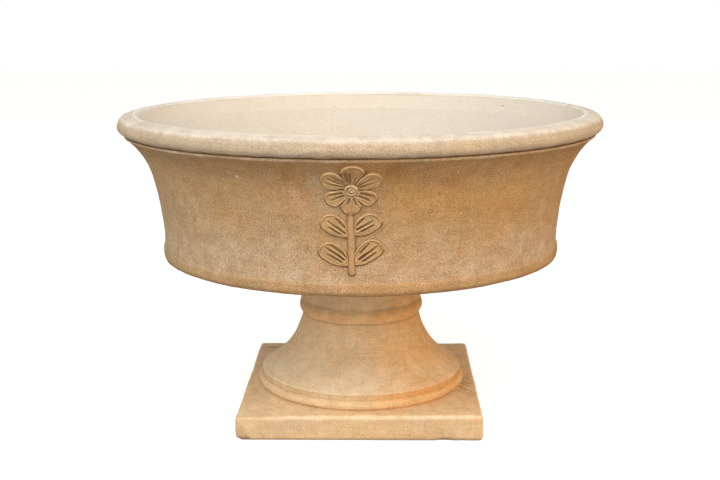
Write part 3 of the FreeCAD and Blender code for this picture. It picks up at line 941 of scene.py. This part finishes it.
def sprig_tone(place, patch, facing):
    """Dust and painted shade in the grooves and low places, painted shade on steep sides that face down, in
    the top petal and under the bottom petal, and a painted highlight on high parts that face up.
    """
    spot = unrolled(place)
    lean = math.asin(min(0.75, max(0.0, (place.z - upper_middle.y) / upper_radius)))
    ahead = Vector((place.x, place.y, 0)).normalized() * math.cos(lean) - Vector((0, 0, math.sin(lean)))
    upward = facing.z + math.sin(lean)
    steep = ease(0.93, 0.6, facing.dot(ahead))
    down = ease(0.15, -0.4, upward)
    petal_shadow = hump(88, 97, 97.5, 99, spot.y) * ease(9, 6, abs(spot.x))
    # Dust and painted shade low down, and painted shade on steep sides that face down.
    dirt_and_shade = 0.5 * ease(2.8, 0.9, spot.z) * (1 - steep) + steep * (0.15 + 0.75 * down)
    # Painted shadow inside the top petal, and painted shade where the sides meet the wall.
    dirt_and_shade += 0.5 * near(spot, -5, 156, 17) + 0.5 * ease(1.5, 0.8, spot.z) * (0.3 + 0.7 * down)
    # Painted shadow of the bottom petal's edge across the stem's top.
    dirt_and_shade += 0.55 * petal_shadow
    # Painted highlight on high parts that face up.
    bloom_and_highlight = 0.1 + 0.42 * ease(2.2, 4.0, spot.z) * ease(0.0, 0.45, upward)
    return bloom_and_highlight + 0.2 * patch, dirt_and_shade + 0.1 * patch, warm_light_side(place) + 0.35 * patch


for piece in sprig.values():
    slip_edge(piece)
    push(piece, 1.5, "slip")
    paint(piece, "skin", lambda place: 1.0)
    push(piece, 2.8, "skin", hand_waves, "X")
    push(piece, 2.2, "skin", hand_waves, "Z")
    push(piece, 0.5, "skin", lumps)
    tone(piece, sprig_tone)
print("sprig faces:", sum(len(piece.data.polygons) for piece in sprig.values()))

# %% [markdown]
# ## The fired clay finish
# The finish is dry and sandy. Its colour is built from slow clouds, patches and fine grain, and
# pale and dark specks and small pits are scattered by a cell pattern of which only some cells are
# used. The mesh's own pointiness makes raised edges paler, as wear and painted highlight, and
# hollows darker, as dust and painted shade. The same patterns drive the bump, so what looks like a
# pit is also a dip.

# %% Node helpers
def node(tree, kind, inputs=None, **settings):
    """Adds a node. An input may be a value or another node's output."""
    made = tree.nodes.new("ShaderNode" + kind)
    for key, value in settings.items():
        setattr(made, key, value)
    for key, value in (inputs or {}).items():
        if isinstance(value, bpy.types.NodeSocket):
            tree.links.new(value, made.inputs[key])
        else:
            made.inputs[key].default_value = value
    return made


def mix(tree, share, first, second, blend="MIX"):
    """The second colour over the first, by a share."""
    made = node(tree, "Mix", {0: share, 6: first, 7: second}, data_type="RGBA", blend_type=blend)
    return made.outputs[2]


def ramp(tree, value, low, high, first=0.0, last=1.0):
    """Smoothly from first to last while the value goes from low to high."""
    inputs = {"Value": value, "From Min": low, "From Max": high, "To Min": first, "To Max": last}
    return node(tree, "MapRange", inputs, interpolation_type="SMOOTHSTEP").outputs["Result"]


def math_node(tree, kind, first, second=0.0, third=0.0):
    """One sum on numbers."""
    return node(tree, "Math", {0: first, 1: second, 2: third}, operation=kind).outputs[0]


def vector_node(tree, kind, inputs):
    """One sum on places."""
    return node(tree, "VectorMath", inputs, operation=kind).outputs[0]


def new_material(name):
    """A material, its nodes and its shader."""
    material = bpy.data.materials.new(name)
    material.use_nodes = True
    return material, material.node_tree, material.node_tree.nodes["Principled BSDF"]


def linear(red, green, blue):
    """A screen colour from 0 to 255 as the linear colour that shaders use."""
    return tuple(((c / 255 + 0.055) / 1.055) ** 2.4 for c in (red, green, blue)) + (1.0,)


# %% Clouds, brush marks and specks
def clouds(tree, where, scale, detail, rough=0.6):
    """A cloud pattern from 0 to 1."""
    inputs = {"Vector": where, "Scale": scale, "Detail": detail, "Roughness": rough}
    return node(tree, "TexNoise", inputs).outputs["Fac"]


def wiped(tree, place, around, up):
    """Brush marks on a ring about the pot's axis, finer the way that has the larger number."""
    flat = vector_node(tree, "MULTIPLY", {0: place, 1: (1, 1, 0)})
    height = vector_node(tree, "MULTIPLY", {0: place, 1: (0, 0, 1)})
    ring = vector_node(tree, "NORMALIZE", {0: flat})
    spread = vector_node(tree, "SCALE", {0: ring, "Scale": around})
    rise = vector_node(tree, "SCALE", {0: height, "Scale": up})
    return clouds(tree, vector_node(tree, "ADD", {0: spread, 1: rise}), 1.0, 3, 0.65)


def specks(tree, place, scale, size, share):
    """Mask of round specks in that share of the cells."""
    cells = node(tree, "TexVoronoi", {"Vector": place, "Scale": scale, "Randomness": 1.0})
    draw = node(tree, "SeparateColor", {0: cells.outputs["Color"]}).outputs[0]
    chosen = math_node(tree, "LESS_THAN", draw, share)
    radius = ramp(tree, draw, 0.0, share, size * 0.4, size)
    dot = ramp(tree, math_node(tree, "DIVIDE", cells.outputs["Distance"], radius), 0.45, 1.0, 1.0, 0.0)
    return math_node(tree, "MULTIPLY", dot, chosen)


def clay_patterns(tree, upright):
    """The painted tones, and the patterns that both the colour and the bump use."""
    place = node(tree, "TexCoord").outputs["Object"]
    painted = node(tree, "Attribute", attribute_name="tone").outputs["Color"]
    tones = node(tree, "SeparateColor", {0: painted}).outputs
    upright_marks = math_node(tree, "MULTIPLY", wiped(tree, place, 60.0, 22.0), upright)
    return SimpleNamespace(
        bloom_and_highlight=tones[0],
        dirt_and_shade=tones[1],
        warmth_and_warm_light=tones[2],
        slow=clouds(tree, place, 11, 3),
        patch=clouds(tree, place, 48, 4),
        grain=clouds(tree, place, 720, 3, 0.8),
        sand=clouds(tree, place, 1300, 2, 0.7),
        marks=math_node(tree, "MULTIPLY_ADD", wiped(tree, place, 5.0, 260.0), 1 - upright, upright_marks),
        pits=specks(tree, place, 58, 0.13, 0.14),
        pinholes=specks(tree, place, 150, 0.22, 0.34),
        flecks=specks(tree, place, 95, 0.12, 0.12),
    )


# %% Colour and bump of the clay
# Near-white for the lime spot and the painted highlight on the rim's lip.
chalk_and_highlight = linear(252, 247, 238)
# Dirt and painted shade.
grime_and_shade = linear(112, 76, 40)
# Dust and painted shade in hollows.
hollow_dust_and_shade = linear(104, 70, 36)
fleck_colour = linear(250, 240, 222)
pit_colour = linear(104, 70, 38)
pinhole_colour = linear(120, 84, 50)


def toned(tree, clay, body, warm, pale):
    """The body turned warm by warm patches and painted warm light, veiled by lime and painted highlight,
    and darkened by dirt and painted shade, as the tones say.
    """
    tint = math_node(tree, "MULTIPLY_ADD", clay.slow, 0.65, math_node(tree, "SUBTRACT", clay.warmth_and_warm_light, 0.43))
    colour = mix(tree, ramp(tree, tint, 0.05, 0.95), body, warm)
    veil = math_node(tree, "MULTIPLY", clay.bloom_and_highlight, ramp(tree, clay.patch, 0.25, 0.75, 0.75, 1.15))
    colour = mix(tree, ramp(tree, veil, 0.0, 1.0), colour, pale)
    # Near-white where bloom and painted highlight run highest.
    colour = mix(tree, ramp(tree, clay.bloom_and_highlight, 1.55, 2.1, 0.0, 0.85), colour, chalk_and_highlight)
    return mix(tree, ramp(tree, clay.dirt_and_shade, 0.0, 1.0, 0.0, 0.8), colour, grime_and_shade)


def mottled(tree, clay, colour, grit):
    """Lighter and darker by patches, brush marks and grain, and less so under lime and painted highlight.
    """
    uneven = ramp(tree, clay.patch, 0.3, 0.7, -0.06, 0.06)
    uneven = math_node(tree, "ADD", uneven, ramp(tree, clay.marks, 0.3, 0.7, -0.07, 0.06))
    uneven = math_node(tree, "ADD", uneven, ramp(tree, clay.grain, 0.32, 0.68, -0.34 * grit, 0.3 * grit))
    shade = math_node(tree, "MULTIPLY_ADD", uneven, ramp(tree, clay.bloom_and_highlight, 0.4, 1.0, 1.0, 0.25), 1.0)
    shade = node(tree, "CombineColor", {0: shade, 1: shade, 2: shade}).outputs[0]
    return mix(tree, 1.0, colour, shade, "MULTIPLY")


def worn_and_shaded(tree, clay, colour, pale):
    """Clean raised edges rubbed paler with painted highlight, and dust and painted shade in the hollows."""
    point = node(tree, "NewGeometry").outputs["Pointiness"]
    clean = ramp(tree, clay.dirt_and_shade, 0.1, 0.4, 1.0, 0.0)
    # Painted highlight and wear on raised edges, by pointiness.
    rubbed_and_highlit = math_node(tree, "MULTIPLY", ramp(tree, point, 0.51, 0.62, 0.0, 0.22), clean)
    colour = mix(tree, rubbed_and_highlit, colour, pale)
    return mix(tree, ramp(tree, point, 0.49, 0.42, 0.0, 0.6), colour, hollow_dust_and_shade)


def speckled(tree, clay, colour):
    """Pale flecks, dark pits, and pinholes that show more where dirt and painted shade lie."""
    colour = mix(tree, math_node(tree, "MULTIPLY", clay.flecks, 0.6), colour, fleck_colour)
    colour = mix(tree, math_node(tree, "MULTIPLY", clay.pits, 0.55), colour, pit_colour)
    holes = math_node(tree, "MULTIPLY", clay.pinholes, math_node(tree, "ADD", clay.dirt_and_shade, 0.35))
    return mix(tree, holes, colour, pinhole_colour)


def bumpy(tree, clay, grit):
    """The same patterns as heights: grain, patches and marks up, pits and pinholes down."""
    height = math_node(tree, "MULTIPLY", clay.sand, 0.3)
    steps = ((clay.grain, grit), (clay.patch, 0.9), (clay.marks, 0.35), (clay.pits, -1.1))
    for pattern, rise in steps + ((clay.pinholes, -0.45),):
        height = math_node(tree, "MULTIPLY_ADD", pattern, rise, height)
    bump = node(tree, "Bump", {"Strength": 0.9, "Distance": mm, "Height": height})
    return bump.outputs["Normal"]


# %% One recipe for every clay piece
def fired_clay(name, body, warm, pale, upright, grit):
    """Sandy unglazed clay. upright is how much the brush marks run up instead of round."""
    material, tree, shader = new_material(name)
    clay = clay_patterns(tree, upright)
    colour = mottled(tree, clay, toned(tree, clay, body, warm, pale), grit)
    colour = speckled(tree, clay, worn_and_shaded(tree, clay, colour, pale))
    tree.links.new(colour, shader.inputs["Base Color"])
    tree.links.new(ramp(tree, clay.grain, 0.2, 0.8, 0.84, 0.96), shader.inputs["Roughness"])
    tree.links.new(bumpy(tree, clay, grit), shader.inputs["Normal"])
    shader.inputs["Specular IOR Level"].default_value = 0.22
    print(name, "has", len(tree.nodes), "nodes")
    return material


lime = linear(232, 221, 205)
base_lime = linear(246, 226, 194)
sprig_lime = linear(236, 208, 168)
bowl_clay = fired_clay("bowl_clay", linear(180, 153, 114), linear(194, 142, 82), lime, 0.4, 1.5)
rim_clay = fired_clay("rim_clay", linear(194, 174, 148), linear(199, 169, 130), lime, 0.2, 1.0)
base_clay = fired_clay("base_clay", linear(238, 202, 153), linear(243, 182, 108), base_lime, 0.3, 0.7)
sprig_clay = fired_clay("sprig_clay", linear(180, 152, 112), linear(194, 144, 88), sprig_lime, 0.5, 0.8)

# %% [markdown]
# ## The seat ring
# Between bowl and foot lies a thin soft ring that takes up the play. Its measured shape is right,
# so it keeps it and only gets a dull rubber finish, a little dusty from the clay.

# %% Dull rubber for the seat ring
rubber, tree, shader = new_material("seat_rubber")
place = node(tree, "TexCoord").outputs["Object"]
dust = node(tree, "TexNoise", {"Vector": place, "Scale": 130, "Detail": 5}).outputs["Fac"]
dusty = mix(tree, ramp(tree, dust, 0.42, 0.7, 0.0, 0.55), linear(52, 48, 44), linear(150, 128, 98))
tree.links.new(dusty, shader.inputs["Base Color"])
tree.links.new(ramp(tree, dust, 0.3, 0.7, 0.55, 0.85), shader.inputs["Roughness"])
grit_bump = node(tree, "Bump", {"Strength": 0.5, "Distance": 0.3 * mm, "Height": dust})
tree.links.new(grit_bump.outputs["Normal"], shader.inputs["Normal"])
ring_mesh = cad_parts["seat_ring"].data
ring_mesh.materials.clear()
ring_mesh.materials.append(rubber)
print("seat ring in", rubber.name)

# %% [markdown]
# ## Putting the pieces on the measured model
# Each clay piece takes the place of a measured one and moves with the same body. The bowl and its
# sprig turn and lift together, and the foot and plinth stay.

# %% Finish, replace and ride
def mount(piece, node_name, body, material, turn_limit=40):
    """Gives a piece its finish and lets it stand for a measured piece."""
    piece.data.materials.clear()
    piece.data.materials.append(material)
    only(piece)
    bpy.ops.object.shade_smooth_by_angle(angle=math.radians(turn_limit))
    piece.vertex_groups.clear()
    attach(piece, body)
    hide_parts(node_name)
    print(piece.name, "measures", [round(side / mm, 1) for side in piece.dimensions], "mm")


mount(plinth, "plinth", "foot", base_clay)
mount(foot, "foot", "foot", base_clay)
mount(floor_slab, "bowl_floor", "bowl", bowl_clay)
mount(wall, "bowl_wall", "bowl", bowl_clay)
mount(rim, "rim", "bowl", rim_clay)
for node_name, piece in sprig.items():
    mount(piece, node_name, "bowl", sprig_clay, 60)

# %% [markdown]
# ## Floor, light and camera
# A studio picture of a pot on white needs a pale sweep with light of its own, which the camera
# sees but which doesn't spill onto the pot. A wide, low softbox stands high in front, so that the
# flare under the rim falls into shade, and a weaker one stands lower. A weak square one fills the
# left side, and a warm one the right. The picture is shown without a film curve, so the sweep
# comes out white. The camera stands almost two metres away and looks down by twelve degrees, which
# shows the far inside of the bowl.

# %% Floor and surroundings
def seen_by_camera(tree, plain, seen):
    """A strength of its own for what the camera sees directly."""
    looks = node(tree, "LightPath").outputs["Is Camera Ray"]
    return math_node(tree, "MULTIPLY_ADD", looks, seen - plain, plain)


floor_size = 14
just_below = -0.0006
only()
bpy.ops.mesh.primitive_plane_add(size=floor_size, location=(0, 3, just_below))
ground = bpy.context.object
ground.name = "studio_floor"
paper, tree, shader = new_material("studio_paper")
shader.inputs["Base Color"].default_value = (0.6, 0.59, 0.57, 1)
shader.inputs["Roughness"].default_value = 0.9
shader.inputs["Emission Color"].default_value = (1, 1, 1, 1)
tree.links.new(seen_by_camera(tree, plain=0.0, seen=0.71), shader.inputs["Emission Strength"])
ground.data.materials.append(paper)
world = bpy.data.worlds.new("studio")
world.use_nodes = True
sky = world.node_tree
back = sky.nodes["Background"]
back.inputs["Color"].default_value = (1.0, 1.0, 1.0, 1)
sky.links.new(seen_by_camera(sky, plain=0.45, seen=1.0), back.inputs["Strength"])
bpy.context.scene.world = world
bpy.context.scene.view_settings.view_transform = "Standard"
print("floor:", floor_size, "m square")


# %% Softboxes
def softbox(name, place, target, size, power, colour):
    """An area light of a width and height that looks at the target."""
    only()
    bpy.ops.object.light_add(type="AREA", location=place)
    lamp = bpy.context.object
    lamp.name = name
    lamp.data.shape = "RECTANGLE"
    lamp.data.size, lamp.data.size_y = size
    lamp.data.energy = power
    lamp.data.color = colour
    lamp.rotation_euler = (Vector(target) - Vector(place)).to_track_quat("-Z", "Y").to_euler()
    print(name, power, "W at", place)


soft_white = (1.0, 0.98, 0.95)
cream = (1.0, 0.96, 0.9)
orange = (1.0, 0.76, 0.5)
softbox("top_light", (-0.2, -1.8, 2.15), (0, 0, 0.3), (3.6, 0.7), 42, soft_white)
softbox("front_light", (-0.2, -2.45, 1.3), (0, 0, 0.15), (2.8, 0.6), 15, soft_white)
softbox("left_light", (-2.1, -0.9, 1.4), (0, 0, 0.3), (1.6, 1.6), 8, cream)
softbox("right_light", (2.1, -1.0, 1.1), (0, 0, 0.3), (1.4, 1.4), 18, orange)

# %% Camera
camera_place = (0.0666, -1.8892, 0.6877)
swing = Matrix.Rotation(math.radians(2.05), 4, "Z")
tilt = Matrix.Rotation(math.radians(90 - 11.976), 4, "X")
roll = Matrix.Rotation(math.radians(-0.286), 4, "Z")
only()
bpy.ops.object.camera_add(location=camera_place)
camera = bpy.context.object
camera.matrix_world = Matrix.Translation(camera_place) @ swing @ tilt @ roll
camera.data.sensor_width = 36
camera.data.lens = 56.23
camera.data.clip_end = 50
bpy.context.scene.camera = camera
print("camera", round(Vector(camera_place).length, 2), "m from the foot's middle")
